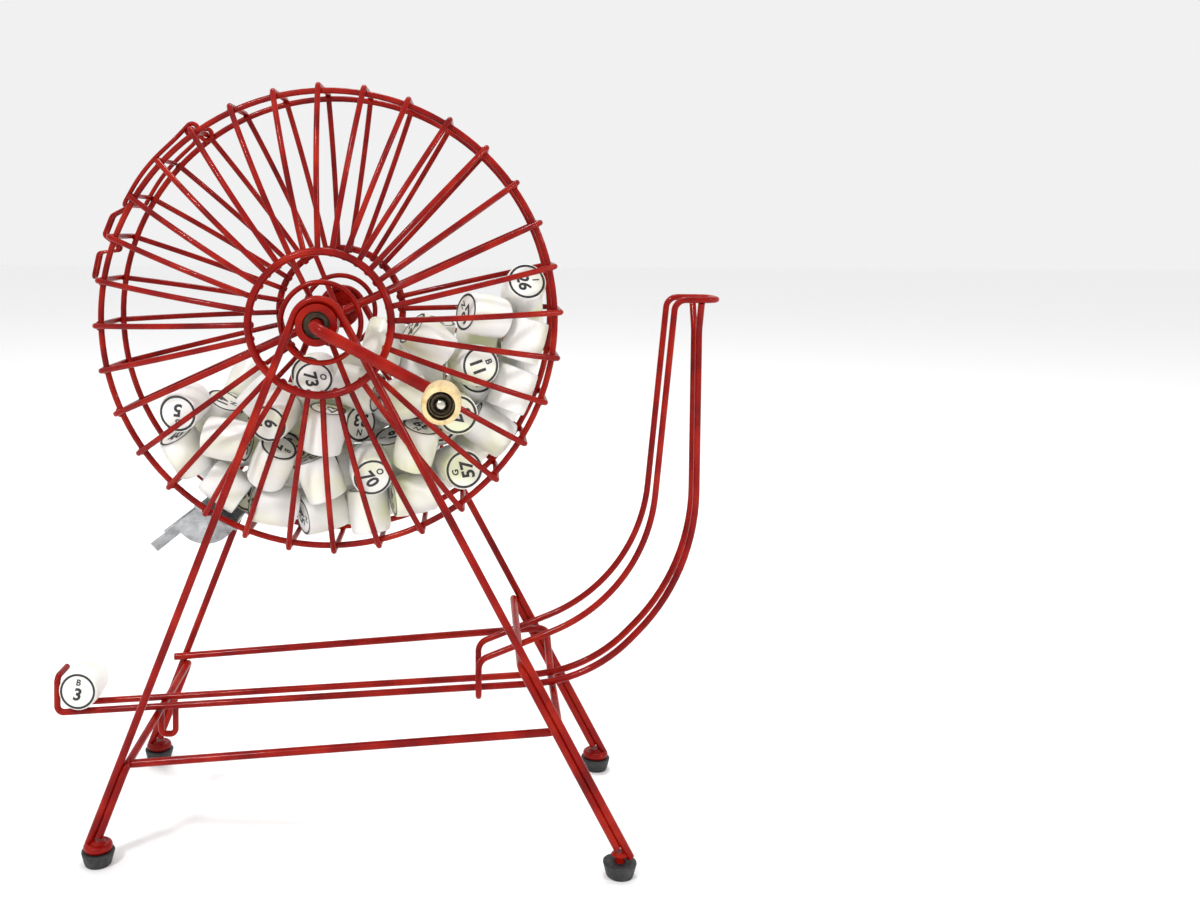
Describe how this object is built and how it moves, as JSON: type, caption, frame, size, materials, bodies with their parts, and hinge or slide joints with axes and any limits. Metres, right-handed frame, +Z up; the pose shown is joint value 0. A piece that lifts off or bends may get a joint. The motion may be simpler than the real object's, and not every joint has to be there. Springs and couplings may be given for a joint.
{
  "type": "bingo cage",
  "caption": "Table-top wire bingo cage that turns on a wire stand, with a hand crank, a ball scoop, a filling door, a ball chute and a track with a ball at its end.",
  "frame": {"origin": "on the table under the middle of the whole object's box", "axes": "+X along the track towards the chute, +Y from the crank to the back, +Z up"},
  "size_m": [0.3558, 0.1704, 0.3933],
  "materials": {
    "red_enamel": "gloss",
    "rubber": "matte",
    "wood": "satin",
    "aluminium": "satin",
    "steel": "satin",
    "ball_plastic": "satin"
  },
  "bodies": {
    "stand": {"balls": "ball_plastic", "base_frame": "red_enamel", "chute_guard": "red_enamel", "foot_rivets": "red_enamel", "front_bearing_bush": "red_enamel", "front_leg_frame": "red_enamel", "left_side_hoop": "red_enamel", "rear_bearing_bush": "red_enamel", "rear_leg_frame": "red_enamel", "right_side_hoop": "red_enamel", "rubber_foot_front_left": "rubber", "rubber_foot_front_right": "rubber", "rubber_foot_rear_left": "rubber", "rubber_foot_rear_right": "rubber", "track_front_rail": "red_enamel", "track_hook": "red_enamel", "track_rear_rail": "red_enamel"},
    "cage": {"cut_ribs_front": "red_enamel", "cut_ribs_rear": "red_enamel", "hub_ring_front": "red_enamel", "hub_ring_rear": "red_enamel", "ribs_bottom": "red_enamel", "ribs_left": "red_enamel", "ribs_right": "red_enamel", "ribs_top": "red_enamel", "rim_ring_front": "red_enamel", "rim_ring_rear": "red_enamel", "small_ring_front": "red_enamel", "small_ring_rear": "red_enamel", "spoke_rib_1": "red_enamel", "spoke_rib_2": "red_enamel", "spoke_rib_3": "red_enamel", "spoke_rib_4": "red_enamel", "crank_axle": "red_enamel", "front_collar": "red_enamel", "rear_collar": "red_enamel", "scoop": "aluminium", "knob_retainer": "steel"},
    "knob": {"crank_knob": "wood"},
    "door": {"door_bar_1": "red_enamel", "door_bar_2": "red_enamel", "door_frame": "red_enamel", "door_latch": "red_enamel"},
    "ball": {"called_ball": "ball_plastic"}
  },
  "joints": [
    {"name": "cage_turn", "type": "hinge", "parent": "stand", "child": "cage", "pos_m": [-0.0282, 0.01925, 0.27], "axis": [0, 1, 0], "continuous": true},
    {"name": "knob_turn", "type": "hinge", "parent": "cage", "child": "knob", "pos_m": [0.03389, -0.07075, 0.23768], "axis": [0, 1, 0], "continuous": true},
    {"name": "door_hinge", "type": "hinge", "parent": "cage", "child": "door", "pos_m": [-0.09927, 0.01925, 0.36873], "axis": [0, 1, 0], "range_deg": [0, 100]},
    {"name": "ball_roll", "type": "slide", "parent": "stand", "child": "ball", "axis": [0.9969, 0, 0.0785], "range_m": [0, 0.22]}
  ]
}
